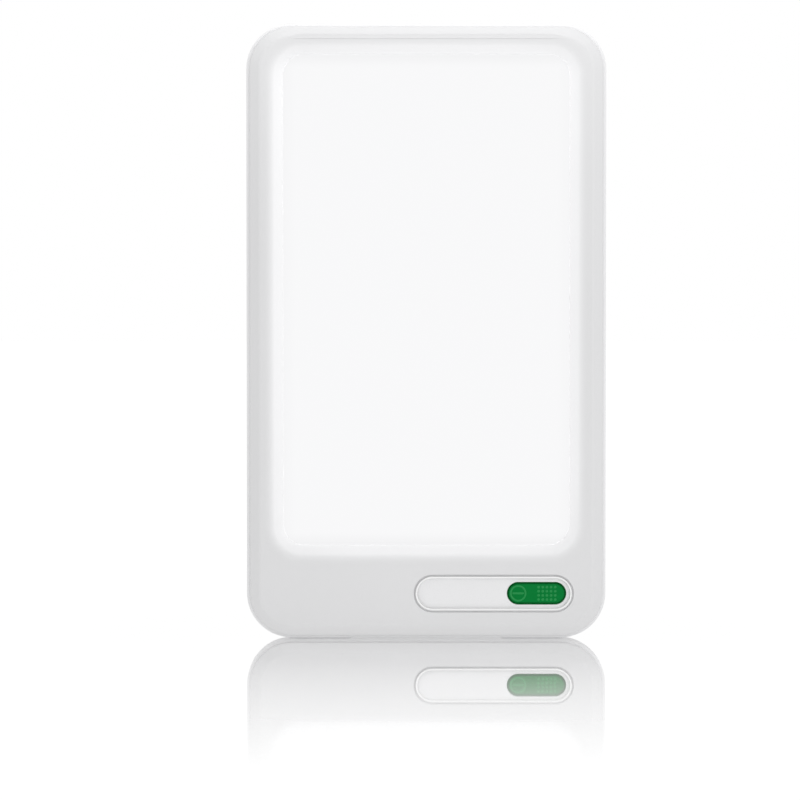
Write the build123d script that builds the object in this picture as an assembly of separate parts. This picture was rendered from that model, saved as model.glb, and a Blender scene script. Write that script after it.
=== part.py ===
"""Light therapy lamp: a slim upright light panel with a slide switch and a fold-out leg.

Millimetres. X runs to the right as the user faces the lamp, Z is up and the lit face
looks along -Y. The pieces are drawn with depth 0 at the crest of the front bezel and
depth growing towards the back; write_parts() then centres the whole lamp on the origin,
with the ground at Z = 0.
"""
from build123d import *
import math
import os

# ---------------------------------------------------------------- housing
body_width = 152.0
body_height = 259.6
body_depth = 22.0
body_corner = 19.0
shell_wall = 2.0
shell_floor = 2.0
back_edge_radius = 4.0
rim_chamfer = 0.8

bezel_side_inset = 1.45
bezel_end_inset = 1.2
bezel_corner = 17.7
bezel_side = 5.0
bezel_roll = 2.8
bezel_wall = 2.0
bezel_plate = 2.0
skirt_length = 2.5
skirt_gap = 0.15

# ---------------------------------------------------------------- light window
window_side = 15.5
window_bottom = 39.8
window_top = 12.8
window_corner = 9.0
slope_run = 5.8
slope_drop = 3.2
slope_wall = 2.6
window_lip = 0.5
crest_roll = 9.7
land_width = 5.0
land_thickness = 1.3

# ---------------------------------------------------------------- light panel
panel_overlap = 3.2
panel_corner = 10.0
panel_gap = 0.2
diffuser_thickness = 2.0
film_thickness = 0.3
guide_thickness = 3.0
guide_end_gap = 1.0
reflector_thickness = 0.25
plate_thickness = 1.0
panel_rib = 2.0
strip_thickness = 1.0
led_height = 0.9
led_length = 2.8
led_width = 2.0
led_count = 24
led_gap = 0.3
plate_ear_half = 3.4
plate_screw_inset = 6.9
plate_screw_rise = 24.0
plate_hook_x = 40.0
plate_hook_length = 12.0
plate_hook_wall = 1.8
plate_hook_reach = 1.5
plate_hook_gap = 0.1

# ---------------------------------------------------------------- slide switch
switch_side_gap = 14.3
switch_z = 19.5
ring_length = 66.3
ring_height = 14.5
ring_width = 0.9
ring_proud = 0.3
ring_edge = 0.3
ring_gap = 0.05
ring_groove_width = 1.0
ring_groove_depth = 0.5
web_thickness = 1.0
slide_gap = 0.3
carriage_underlap = 0.55
carriage_thickness = 1.6
grip_length = 23.4
grip_height = 7.9
grip_gap = 0.85
grip_sink = 0.15
grip_edge = 0.35
grip_flange = 1.5
grip_flange_thickness = 1.0
tray_floor = 1.2
tray_wall = 1.2
tray_ledge = 1.1
tray_floor_gap = 0.5
tray_ear_half = 2.4
tray_ear_reach = 11.4
tray_ear_left = 8.0
tray_ear_right = 22.0
magnet_radius = 2.5
magnet_thickness = 1.4

# ---------------------------------------------------------------- electronics
# Places along the board are shares of its length.
board_thickness = 1.6
board_front = 9.0
board_left_gap = 18.0
board_right_gap = 14.0
board_bottom = 5.5
board_top = 33.6
board_boss_half = 2.4
board_boss_inset = 2.6
board_boss_left = 4.0
board_boss_right = 8.0
jack_depth = 13.1
jack_z = 24.2
jack_body = 9.0
jack_length = 14.2
jack_nose_radius = 4.0
jack_nose_sink = 0.4
jack_nose_gap = 0.2
jack_bore_radius = 2.85
jack_bore_depth = 11.0
jack_pin_radius = 1.0
jack_pin_sink = 1.0
jack_board_gap = 0.3
capacitor_radius = 4.0
capacitor_height = 7.5
capacitors_along = (0.3, 0.385, 0.765)
inductor_size = 10.0
inductor_corner = 1.6
inductor_height = 5.0
inductor_along = 0.55
chip_sizes = ((5.0, 6.2, 1.6), (5.0, 4.0, 1.4))
chips_along = (0.665, 0.185)
connector_size = (7.0, 6.0, 4.5)
connector_left_gap = 8.0
connector_right_gap = 16.0
sensor_size = (3.0, 3.2, 1.0)

# ---------------------------------------------------------------- screws
screw_radius = 1.25
screw_length = 11.0
screw_head_radius = 2.6
screw_head_height = 2.0
screw_pilot_gap = 0.02
screw_slip_gap = 0.3
screw_head_gap = 0.4
boss_radius = 2.3
boss_back = 12.0
tower_half = 3.9
tower_seat = 17.5
corner_screw_inset_x = 9.4
corner_screw_inset_z = 12.0
small_screw_radius = 1.0
small_head_radius = 1.9
small_head_height = 1.2
small_skin = 0.9

# ---------------------------------------------------------------- stand
hinge_height = 80.0
hinge_back_gap = 0.2
knuckle_radius = 2.9
knuckle_length = 12.0
hinge_pin_radius = 1.5
hinge_running_gap = 0.05
hinge_seat_gap = 0.03
hinge_pin_grip = 5.0
hinge_boss_wall = 2.2
leg_angle = 32.0
leg_width = 62.0
leg_tip_width = 50.0
leg_tip_corner = 8.0
leg_thickness = 4.2
leg_skin = 1.6
leg_rib = 1.5
leg_rib_rows = 4
leg_gap = 0.4
recess_side_gap = 2.3
recess_end_gap = 0.8
recess_wall = 1.8
washer_thickness = 1.6
washer_radius = 2.8
foot_radius = 2.6
foot_offset = 0.3
foot_length = 40.0
foot_clearance = 1.5
knuckle_root = 1.0
recess_way_out = 8.7
notch_radius = 10.0
notch_depth = 4.4

# ---------------------------------------------------------------- feet
pad_length = 26.0
pad_width = 7.0
pad_thickness = 1.2
pad_proud = 0.4
pad_side_gap = 31.0
pad_depth = 11.5

# ---------------------------------------------------------------- worked out from the sizes above
tiny = 0.001
body_bottom = pad_proud
body_top = body_bottom + body_height
body_mid = body_bottom + body_height / 2
bezel_width = body_width - 2 * bezel_side_inset
bezel_height = body_height - 2 * bezel_end_inset
window_width = body_width - 2 * window_side
window_height = body_top - window_top - window_bottom
window_mid = window_bottom + window_height / 2
panel_front = slope_drop + window_lip
film_front = panel_front + diffuser_thickness
guide_front = film_front + film_thickness
reflector_front = guide_front + guide_thickness
plate_front = reflector_front + reflector_thickness
plate_back = plate_front + plate_thickness
panel_width = window_width + 2 * panel_overlap
panel_height = window_height + 2 * panel_overlap
strip_inner = panel_width / 2 - strip_thickness
led_inner = strip_inner - led_height
guide_width = 2 * (led_inner - led_gap)
pocket_width = panel_width + 2 * panel_gap
pocket_height = panel_height + 2 * panel_gap
rib_width = pocket_width + 2 * panel_rib
rib_height = pocket_height + 2 * panel_rib
rib_corner = panel_corner + panel_gap + panel_rib

switch_x = body_width / 2 - switch_side_gap - ring_length / 2
opening_length = ring_length - 2 * ring_width
opening_height = ring_height - 2 * ring_width
carriage_front = web_thickness + slide_gap
carriage_back = carriage_front + carriage_thickness
carriage_length = opening_length + 2 * carriage_underlap
carriage_height = opening_height + 2 * carriage_underlap
grip_margin = (ring_height - grip_height) / 2
grip_x = switch_x + ring_length / 2 - grip_margin - grip_length / 2
switch_travel = 2 * (grip_x - switch_x)
flange_back = carriage_back + grip_flange_thickness
tray_floor_front = flange_back + tray_floor_gap
tray_back = tray_floor_front + tray_floor
track_height = carriage_height + 2 * slide_gap
track_right = switch_x + carriage_length / 2 + slide_gap
track_left = switch_x - carriage_length / 2 - switch_travel - slide_gap
track_length = track_right - track_left
track_x = (track_right + track_left) / 2
tray_ears = [(track_left + tray_ear_left, switch_z - tray_ear_reach),
             (track_right - tray_ear_right, switch_z + tray_ear_reach)]

board_back = board_front + board_thickness
board_left = board_left_gap - body_width / 2
board_right = body_width / 2 - board_right_gap
board_length = board_right - board_left
board_mid = (board_bottom + board_top) / 2
connectors_from_left = (connector_left_gap, board_length - connector_right_gap)
board_bosses = [(board_left + board_boss_left, board_top - board_boss_inset),
                (board_right - board_boss_right, board_bottom + board_boss_inset)]

corner_screw_x = body_width / 2 - corner_screw_inset_x
housing_screws_at = [(side * corner_screw_x, body_bottom + corner_screw_inset_z) for side in (-1, 1)]
housing_screws_at += [(side * corner_screw_x, body_top - corner_screw_inset_z) for side in (-1, 1)]
plate_screw_x = body_width / 2 - plate_screw_inset
plate_screws_at = [(side * plate_screw_x, window_bottom + plate_screw_rise) for side in (-1, 1)]
pad_x = body_width / 2 - pad_side_gap

hinge_depth = body_depth - hinge_back_gap - knuckle_radius
recess_radius = knuckle_radius + leg_gap
recess_width = leg_width + 2 * recess_side_gap
leg_turn = math.radians(180.0 - leg_angle)
leg_length = (hinge_height - foot_radius - foot_offset * math.sin(leg_turn)) / -math.cos(leg_turn)
recess_top = hinge_height + leg_length + foot_radius + recess_end_gap
foot_back = (hinge_depth + foot_offset * math.cos(leg_turn) + leg_length * math.sin(leg_turn)
             + foot_radius)
lamp_shift = (ring_proud - foot_back) / 2


# ---------------------------------------------------------------- shared shapes
def face_plane(depth, x=0.0, z=0.0):
    """Plane at one depth that faces the user, with its own y axis upwards."""
    return Plane(origin=(x, depth, z), x_dir=(1, 0, 0), z_dir=(0, -1, 0))


def slab(outline, front, back, x=0.0, z=0.0):
    """Solid of one outline between two depths."""
    return extrude(face_plane(back, x, z) * outline, amount=back - front)


def post(x, z, radius, front, back):
    """Round post along the depth."""
    return slab(Circle(radius), front, back, x, z)


def hex_post(x, z, radius, front, back):
    """Six-sided post along the depth, for a screw's shank and the hole that it cuts."""
    return slab(RegularPolygon(radius, 6), front, back, x, z)


def square_post(x, z, half, front, back):
    """Square post along the depth."""
    return slab(Rectangle(2 * half, 2 * half), front, back, x, z)


def rod(radius, left, right, depth, z):
    """Round bar along X."""
    plane = Plane(origin=(left, depth, z), x_dir=(0, 1, 0), z_dir=(1, 0, 0))
    return extrude(plane * Circle(radius), amount=right - left)


def side_profile(points, left, right):
    """Solid of a (depth, height) outline, carried along X."""
    wire = Polyline([(left, depth, z) for depth, z in points], close=True)
    return extrude(make_face(wire), amount=right - left, dir=(1, 0, 0))


def box_between(low, high):
    """Box from its lowest corner to its highest."""
    size = [b - a for a, b in zip(low, high)]
    middle = [(a + b) / 2 for a, b in zip(low, high)]
    return Pos(*middle) * Box(*size)


def edges_at(shape, depth):
    """Edges that lie wholly at one depth."""
    edges = shape.edges()
    return edges.filter_by(lambda e: max(abs(v.Y - depth) for v in (e @ 0, e @ 0.5, e @ 1)) < tiny)


def union(pieces):
    """One part of all the pieces, joined where they touch."""
    return Part() + list(pieces)


def bezel_outline(inset):
    """Outline parallel to the bezel's edge, moved inwards."""
    return RectangleRounded(bezel_width - 2 * inset, bezel_height - 2 * inset, bezel_corner - inset)


def body_outline(inset):
    """Outline parallel to the rear shell's edge, moved inwards."""
    return RectangleRounded(body_width - 2 * inset, body_height - 2 * inset, body_corner - inset)


def window_outline(margin):
    """Outline parallel to the light window, moved outwards."""
    return RectangleRounded(window_width + 2 * margin, window_height + 2 * margin, window_corner + margin)


# ---------------------------------------------------------------- front bezel
def window_funnel(margin):
    """The sloped funnel from the crest down to the panel, margin wider than the visible one."""
    mouth = face_plane(0.0, 0.0, window_mid) * window_outline(slope_run + margin)
    throat = face_plane(slope_drop, 0.0, window_mid) * window_outline(margin)
    return loft([mouth, throat], ruled=True)


def window_surround():
    """Material kept round the window: the wall behind the slope and the panel's landing."""
    wall = window_funnel(slope_wall)
    wall += slab(window_outline(slope_wall), slope_drop, panel_front, 0.0, window_mid)
    landing = slab(window_outline(land_width), panel_front - land_thickness, panel_front, 0.0, window_mid)
    return wall + landing


def panel_pocket_rib():
    """Ribs along the four sides that locate the light panel behind the window."""
    ring = Rectangle(rib_width, rib_height) - Rectangle(pocket_width, pocket_height)
    ring -= GridLocations(rib_width, rib_height, 2, 2) * Rectangle(2 * rib_corner, 2 * rib_corner)
    return slab(ring, panel_front, plate_front, 0.0, window_mid)


def bezel_skirt():
    """Thin skirt along the four straight sides, which plugs into the rear shell."""
    ring = body_outline(shell_wall + skirt_gap) - bezel_outline(bezel_wall)
    ring -= GridLocations(body_width, body_height, 2, 2) * Rectangle(2 * body_corner, 2 * body_corner)
    return slab(ring, bezel_side, bezel_side + skirt_length, 0.0, body_mid)


def plate_hooks():
    """Two hooks above the light panel that hold the heat plate's upper edge."""
    low = window_mid + rib_height / 2 + plate_hook_gap
    seat = plate_back + plate_hook_gap
    hooks = []
    for side in (-1, 1):
        left = side * plate_hook_x - plate_hook_length / 2
        right = left + plate_hook_length
        hooks.append(box_between((left, bezel_plate, low), (right, seat, low + plate_hook_wall)))
        nose_low = low - plate_hook_gap - plate_hook_reach
        nose_high = low + plate_hook_wall
        hooks.append(box_between((left, seat, nose_low), (right, seat + plate_hook_wall, nose_high)))
    return union(hooks)


def window_crest(shell):
    """Edges of the crest round the window."""
    half_width = window_width / 2 + slope_run + tiny
    half_height = window_height / 2 + slope_run + tiny
    return edges_at(shell, 0.0).filter_by(lambda e: abs(e.center().X) < half_width
                                          and abs(e.center().Z - window_mid) < half_height)


def front_bezel():
    """Moulded front: rolled rim, flat crest, sloped window and the switch's opening."""
    shell = slab(bezel_outline(0.0), 0.0, bezel_side, 0.0, body_mid)
    shell = fillet(edges_at(shell, 0.0), bezel_roll)
    shell -= window_funnel(0.0)
    shell -= slab(window_outline(0.0), slope_drop, bezel_side, 0.0, window_mid)
    shell = fillet(window_crest(shell), crest_roll)
    inside = slab(bezel_outline(bezel_wall), bezel_plate, bezel_side, 0.0, body_mid)
    shell -= inside - window_surround()
    shell += panel_pocket_rib() + bezel_skirt() + plate_hooks()
    shell += union(post(x, z, boss_radius, bezel_plate, boss_back) for x, z in housing_screws_at)
    shell += union(square_post(x, z, boss_radius, bezel_plate, plate_front) for x, z in plate_screws_at)
    shell += union(square_post(x, z, tray_ear_half, bezel_plate, tray_floor_front) for x, z in tray_ears)
    shell += union(square_post(x, z, board_boss_half, bezel_plate, board_front) for x, z in board_bosses)
    shell -= bezel_pilot_holes()
    shell -= switch_opening()
    return shell


def bezel_pilot_holes():
    """Blind holes for the screws that come in from the back."""
    pilot = screw_radius + screw_pilot_gap
    small = small_screw_radius + screw_pilot_gap
    deep = tower_seat - screw_length - screw_pilot_gap
    holes = [hex_post(x, z, pilot, deep, boss_back) for x, z in housing_screws_at]
    holes += [hex_post(x, z, small, small_skin, plate_front) for x, z in plate_screws_at]
    holes += [hex_post(x, z, small, small_skin, tray_floor_front) for x, z in tray_ears]
    holes += [hex_post(x, z, small, small_skin, board_front) for x, z in board_bosses]
    return union(holes)


def switch_opening():
    """Pill opening for the trim ring, its shadow groove and the thinned track behind it."""
    ring_seat = SlotOverall(ring_length + 2 * ring_gap, ring_height + 2 * ring_gap)
    groove = SlotOverall(ring_length + 2 * ring_groove_width, ring_height + 2 * ring_groove_width)
    opening = slab(ring_seat, 0.0, bezel_plate, switch_x, switch_z)
    opening += slab(groove, 0.0, ring_groove_depth, switch_x, switch_z)
    opening += slab(Rectangle(track_length, track_height), web_thickness, bezel_plate, track_x, switch_z)
    return opening


# ---------------------------------------------------------------- light panel
def panel_sheet(width, height, front, thickness):
    """Rounded sheet centred behind the window."""
    return slab(RectangleRounded(width, height, panel_corner), front, front + thickness, 0.0, window_mid)


def light_guide():
    """Clear edge-lit sheet that spreads the light of the two strips."""
    outline = Rectangle(guide_width, panel_height - 2 * guide_end_gap)
    guide = slab(outline, guide_front, reflector_front, 0.0, window_mid)
    return fillet(guide.edges().filter_by(Axis.Y), window_corner - panel_overlap)


def strip_height_range():
    """Lowest and highest end of a light strip."""
    half = panel_height / 2 - panel_corner
    return window_mid - half, window_mid + half


def led_strip(side):
    """Narrow circuit strip on edge beside the light guide."""
    low, high = strip_height_range()
    inner, outer = sorted((side * strip_inner, side * panel_width / 2))
    return box_between((inner, guide_front, low), (outer, reflector_front, high))


def led_row(side):
    """Row of light-emitting diodes that face the light guide's edge."""
    low, high = strip_height_range()
    pitch = (high - low) / led_count
    inner, outer = sorted((side * led_inner, side * strip_inner))
    depth = (guide_front + reflector_front - led_width) / 2
    rows = [low + (row + 0.5) * pitch - led_length / 2 for row in range(led_count)]
    return union(box_between((inner, depth, z), (outer, depth + led_width, z + led_length)) for z in rows)


def heat_plate():
    """Aluminium plate that closes the panel and carries its heat, with two screwed ears."""
    outline = RectangleRounded(rib_width, rib_height, rib_corner)
    plate = slab(outline, plate_front, plate_back, 0.0, window_mid)
    half = plate_ear_half
    for x, z in plate_screws_at:
        inner, outer = sorted((math.copysign(rib_width / 2 - panel_rib, x), x + math.copysign(half, x)))
        plate += box_between((inner, plate_front, z - half), (outer, plate_back, z + half))
    slip = small_screw_radius + screw_slip_gap
    return plate - union(post(x, z, slip, plate_front, plate_back) for x, z in plate_screws_at)


# ---------------------------------------------------------------- slide switch
def switch_trim_ring():
    """Thin bead round the switch, with its front edges broken."""
    band = SlotOverall(ring_length, ring_height) - SlotOverall(opening_length, opening_height)
    bead = slab(band, -ring_proud, web_thickness, switch_x, switch_z)
    return chamfer(edges_at(bead, -ring_proud), ring_edge)


def switch_carriage():
    """Sliding strip that fills the ring and holds the grip."""
    outline = SlotOverall(carriage_length, carriage_height)
    strip = slab(outline, carriage_front, carriage_back, switch_x, switch_z)
    seat = SlotOverall(grip_length + 2 * grip_gap, grip_height + 2 * grip_gap)
    return strip - slab(seat, carriage_front, carriage_back, grip_x, switch_z)


def switch_grip():
    """Thumb grip set into the carriage from behind."""
    front = carriage_front + grip_sink
    grip = slab(SlotOverall(grip_length, grip_height), front, carriage_back, grip_x, switch_z)
    grip = chamfer(edges_at(grip, front), grip_edge)
    flange = Rectangle(grip_length + 2 * grip_flange, grip_height + 2 * grip_flange)
    grip += slab(flange, carriage_back, flange_back, grip_x, switch_z)
    return grip - post(grip_x, switch_z, magnet_radius, flange_back - magnet_thickness, flange_back)


def switch_magnet():
    """Disc magnet in the back of the grip."""
    return post(grip_x, switch_z, magnet_radius, flange_back - magnet_thickness, flange_back)


def switch_tray():
    """Tray behind the bezel in which the carriage runs."""
    outer = Rectangle(track_length + 2 * tray_wall, track_height + 2 * tray_wall)
    tray = slab(outer, bezel_plate, tray_back, track_x, switch_z)
    half = tray_ear_half
    for x, z in tray_ears:
        low, high = sorted((switch_z, z + math.copysign(half, z - switch_z)))
        tray += box_between((x - half, tray_floor_front, low), (x + half, tray_back, high))
    track = Rectangle(track_length, track_height)
    tray -= slab(track, bezel_plate, carriage_back + slide_gap, track_x, switch_z)
    channel = Rectangle(track_length - 2 * tray_ledge, track_height - 2 * tray_ledge)
    tray -= slab(channel, bezel_plate, tray_floor_front, track_x, switch_z)
    slip = small_screw_radius + screw_slip_gap
    return tray - union(post(x, z, slip, tray_floor_front, tray_back) for x, z in tray_ears)


# ---------------------------------------------------------------- electronics
def driver_board():
    """Circuit board across the chin, notched for the power socket."""
    board = box_between((board_left, board_front, board_bottom), (board_right, board_back, board_top))
    half_notch = jack_body / 2 + jack_board_gap
    notch_left = body_width / 2 - shell_wall - jack_length - jack_board_gap
    board -= box_between((notch_left, board_front, jack_z - half_notch),
                         (board_right, board_back, jack_z + half_notch))
    slip = small_screw_radius + screw_slip_gap
    return board - union(post(x, z, slip, board_front, board_back) for x, z in board_bosses)


def dc_jack_housing():
    """Power socket with its nose through the side wall."""
    right = body_width / 2 - shell_wall
    nose_end = body_width / 2 - jack_nose_sink
    half = jack_body / 2
    jack = box_between((right - jack_length, jack_depth - half, jack_z - half),
                       (right, jack_depth + half, jack_z + half))
    jack += rod(jack_nose_radius, right, nose_end, jack_depth, jack_z)
    jack -= rod(jack_bore_radius, nose_end - jack_bore_depth, nose_end, jack_depth, jack_z)
    return jack


def dc_jack_pin():
    """Centre contact of the power socket."""
    nose_end = body_width / 2 - jack_nose_sink
    return rod(jack_pin_radius, nose_end - jack_bore_depth, nose_end - jack_pin_sink, jack_depth, jack_z)


def on_board(from_left, outline, tall):
    """Component of one outline on the back of the board, placed from the board's left end."""
    return slab(outline, board_back, board_back + tall, board_left + from_left, board_mid)


def capacitors():
    """Upright electrolytic capacitors."""
    places = [share * board_length for share in capacitors_along]
    return union(on_board(x, Circle(capacitor_radius), capacitor_height) for x in places)


def inductor():
    """Square shielded power inductor with its corners cut."""
    outline = chamfer(Rectangle(inductor_size, inductor_size).vertices(), inductor_corner)
    return on_board(inductor_along * board_length, outline, inductor_height)


def driver_chips():
    """Switching controller and its companion."""
    chips = []
    for share, (width, height, tall) in zip(chips_along, chip_sizes):
        chips.append(on_board(share * board_length, Rectangle(width, height), tall))
    return union(chips)


def hall_sensor():
    """Magnet sensor on the front of the board, behind the grip's place when the lamp is lit."""
    width, height, tall = sensor_size
    return slab(Rectangle(width, height), board_front - tall, board_front, grip_x, switch_z)


def led_connectors():
    """Plug sockets for the two light strips."""
    width, height, tall = connector_size
    return union(on_board(x, Rectangle(width, height), tall) for x in connectors_from_left)


# ---------------------------------------------------------------- rear shell
def recess_void(radius, side_margin, end_margin):
    """Space round the folded leg, its hinge and its way out; a larger radius gives the wall round it."""
    half = recess_width / 2 + side_margin
    top = recess_top + end_margin
    deep = body_depth + recess_way_out
    void = box_between((-half, hinge_depth - radius, hinge_height), (half, deep, top))
    void += rod(radius, -half, half, hinge_depth, hinge_height)
    along = (math.sin(leg_turn), math.cos(leg_turn))
    normal = (math.cos(leg_turn), -math.sin(leg_turn))
    start = (hinge_depth + radius * normal[0], hinge_height + radius * normal[1])
    run = (deep - start[0]) / along[0]
    ramp = [start, (start[0] + run * along[0], start[1] + run * along[1]), (deep, hinge_height),
            (hinge_depth, hinge_height)]
    return void + side_profile(ramp, -half, half)


def finger_notch(margin):
    """Scoop above the folded leg's tip."""
    return post(0.0, recess_top, notch_radius + margin, body_depth - notch_depth - margin, body_depth)


def rear_shell():
    """Moulded back: tray with rounded edges, screw towers and the leg's recess."""
    outer = slab(body_outline(0.0), bezel_side, body_depth, 0.0, body_mid)
    outer = fillet(edges_at(outer, body_depth), back_edge_radius)
    outer = chamfer(edges_at(outer, bezel_side), rim_chamfer)
    cavity = slab(body_outline(shell_wall), bezel_side, body_depth - shell_floor, 0.0, body_mid)
    cavity = chamfer(edges_at(cavity, body_depth - shell_floor), back_edge_radius - shell_floor)
    shell = outer - cavity
    floor = body_depth - shell_floor
    inside = union(square_post(x, z, tower_half, boss_back, floor) for x, z in housing_screws_at)
    inside += recess_void(recess_radius + recess_wall, recess_wall, recess_wall)
    inside += finger_notch(recess_wall)
    boss = hinge_pin_radius + hinge_boss_wall
    pin_half = recess_width / 2 + hinge_pin_grip
    inside += rod(boss, -pin_half, pin_half, hinge_depth, hinge_height)
    shell += inside & outer
    shell -= recess_void(recess_radius, 0.0, 0.0)
    shell -= finger_notch(0.0)
    shell -= rod(hinge_pin_radius + hinge_seat_gap, -pin_half, pin_half, hinge_depth, hinge_height)
    for x, z in housing_screws_at:
        shell -= post(x, z, screw_head_radius + screw_head_gap, tower_seat, body_depth)
        shell -= post(x, z, screw_radius + screw_slip_gap, boss_back, tower_seat)
    side = body_width / 2
    shell -= rod(jack_nose_radius + jack_nose_gap, side - shell_wall, side, jack_depth, jack_z)
    shell -= base_pads_shape()
    return shell


def base_pads_shape():
    """The two pads under the lamp, as they sit in the bottom wall."""
    pads = []
    for side in (-1, 1):
        outline = Plane(origin=(side * pad_x, pad_depth, 0.0)) * SlotOverall(pad_length, pad_width)
        pads.append(extrude(outline, amount=pad_thickness))
    return union(pads)


# ---------------------------------------------------------------- screws
def housing_screws():
    """The screws that hold the two halves of the housing, with their heads in the towers."""
    tip = tower_seat - screw_length
    top = tower_seat + screw_head_height
    screws = [hex_post(x, z, screw_radius, tip, tower_seat) for x, z in housing_screws_at]
    screws += [post(x, z, screw_head_radius, tower_seat, top) for x, z in housing_screws_at]
    return union(screws)


def small_screws(places, seat):
    """Small hexagon-headed screws for the inner parts."""
    tip = small_skin + screw_pilot_gap
    top = seat + small_head_height
    screws = [hex_post(x, z, small_screw_radius, tip, seat) for x, z in places]
    screws += [hex_post(x, z, small_head_radius, seat, top) for x, z in places]
    return union(screws)


# ---------------------------------------------------------------- stand
def deployed(shape):
    """Turn a piece of the leg from its folded place to its standing place."""
    hinge = Pos(0.0, hinge_depth, hinge_height)
    return hinge * Rot(X=-math.degrees(leg_turn)) * hinge.inverse() * shape


def leg_outline():
    """Tapered outline of the folded leg, from the hinge up to the tip."""
    low = knuckle_radius + leg_gap
    points = [(-leg_width / 2, low), (leg_width / 2, low), (leg_tip_width / 2, leg_length),
              (-leg_tip_width / 2, leg_length)]
    return Polygon(*points, align=None)


def stand_leg():
    """Moulded leg: thin skin, rim and ribs, with two hinge knuckles."""
    front = hinge_depth + knuckle_radius - leg_thickness
    back = hinge_depth + knuckle_radius
    plate = slab(leg_outline(), front, back, 0.0, hinge_height)
    tip = plate.edges().filter_by(Axis.Y).group_by(Axis.Z)[-1]
    plate = fillet(tip, leg_tip_corner)
    inner = offset(leg_outline(), amount=-leg_rib, kind=Kind.INTERSECTION)
    pocket = slab(inner, front, back - leg_skin, 0.0, hinge_height)
    low = hinge_height + knuckle_radius + leg_gap
    tip_height = hinge_height + leg_length
    pitch = (tip_height - low) / (leg_rib_rows + 1)
    for row in range(1, leg_rib_rows + 1):
        z = low + row * pitch
        pocket -= box_between((-leg_width, front, z - leg_rib / 2), (leg_width, back, z + leg_rib / 2))
    for side in (-1, 1):
        x = side * leg_tip_width / 4
        pocket -= box_between((x - leg_rib / 2, front, low), (x + leg_rib / 2, back, tip_height))
    tip_block = Rectangle(leg_tip_width, 2 * (foot_radius + foot_clearance))
    pocket -= slab(tip_block, front, back, 0.0, tip_height)
    leg = plate - pocket
    for side in (-1, 1):
        left, right = sorted((side * leg_width / 2, side * (leg_width / 2 - knuckle_length)))
        leg += rod(knuckle_radius, left, right, hinge_depth, hinge_height)
        leg += box_between((left, hinge_depth, hinge_height), (right, back, low + knuckle_root))
    leg -= rod(hinge_pin_radius + hinge_running_gap, -leg_width, leg_width, hinge_depth, hinge_height)
    leg -= foot_sleeve()
    return deployed(leg)


def foot_sleeve():
    """Rubber sleeve round the leg's tip, before the leg is opened."""
    centre_depth = hinge_depth + foot_offset
    centre_z = hinge_height + leg_length
    return rod(foot_radius, -foot_length / 2, foot_length / 2, centre_depth, centre_z)


def stand_foot():
    """Rubber foot of the leg."""
    return deployed(foot_sleeve())


def stand_hinge_pin():
    """Steel pin of the leg's hinge."""
    half = recess_width / 2 + hinge_pin_grip
    return rod(hinge_pin_radius, -half, half, hinge_depth, hinge_height)


def hinge_washers():
    """Friction washers between the knuckles and the recess's walls."""
    washers = []
    for side in (-1, 1):
        left, right = sorted((side * recess_width / 2, side * (recess_width / 2 - washer_thickness)))
        disc = rod(washer_radius, left, right, hinge_depth, hinge_height)
        hole = rod(hinge_pin_radius + hinge_seat_gap, left, right, hinge_depth, hinge_height)
        washers.append(disc - hole)
    return union(washers)


# ---------------------------------------------------------------- the whole lamp
def all_parts():
    """Every piece of the lamp by its name."""
    return {
        "front_bezel": front_bezel(),
        "diffuser_panel": panel_sheet(panel_width, panel_height, panel_front, diffuser_thickness),
        "diffuser_film": panel_sheet(panel_width, panel_height, film_front, film_thickness),
        "light_guide": light_guide(),
        "reflector_sheet": panel_sheet(panel_width, panel_height, reflector_front, reflector_thickness),
        "heat_plate": heat_plate(),
        "led_strip_left": led_strip(-1),
        "led_strip_right": led_strip(1),
        "leds_left": led_row(-1),
        "leds_right": led_row(1),
        "switch_trim_ring": switch_trim_ring(),
        "switch_carriage": switch_carriage(),
        "switch_grip": switch_grip(),
        "switch_magnet": switch_magnet(),
        "switch_tray": switch_tray(),
        "driver_board": driver_board(),
        "hall_sensor": hall_sensor(),
        "capacitors": capacitors(),
        "inductor": inductor(),
        "driver_chips": driver_chips(),
        "led_connectors": led_connectors(),
        "dc_jack_housing": dc_jack_housing(),
        "dc_jack_pin": dc_jack_pin(),
        "rear_shell": rear_shell(),
        "base_pads": base_pads_shape(),
        "stand_leg": stand_leg(),
        "stand_foot": stand_foot(),
        "stand_hinge_pin": stand_hinge_pin(),
        "hinge_washers": hinge_washers(),
        "housing_screws": housing_screws(),
        "plate_screws": small_screws(plate_screws_at, plate_back),
        "tray_screws": small_screws(tray_ears, tray_back),
        "board_screws": small_screws(board_bosses, board_back),
    }


def write_parts():
    """Centre the lamp on the origin and write one STEP file for each piece."""
    os.makedirs("parts", exist_ok=True)
    for name, shape in all_parts().items():
        export_step(Pos(0.0, lamp_shift, 0.0) * shape, f"parts/{name}.step")


write_parts()
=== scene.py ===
# %% [markdown]
# # A light therapy lamp
# A slim white lamp with a lit panel, a slide switch and a leg that folds out behind. The
# frame holds its pieces at their real size. This file gives them their finish, and makes
# again, as finer surfaces, the pieces whose edges and curves catch the light.

# %% Load the frame
import bpy
import numpy as np
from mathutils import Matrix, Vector
from mathutils.geometry import delaunay_2d_cdt


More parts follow.
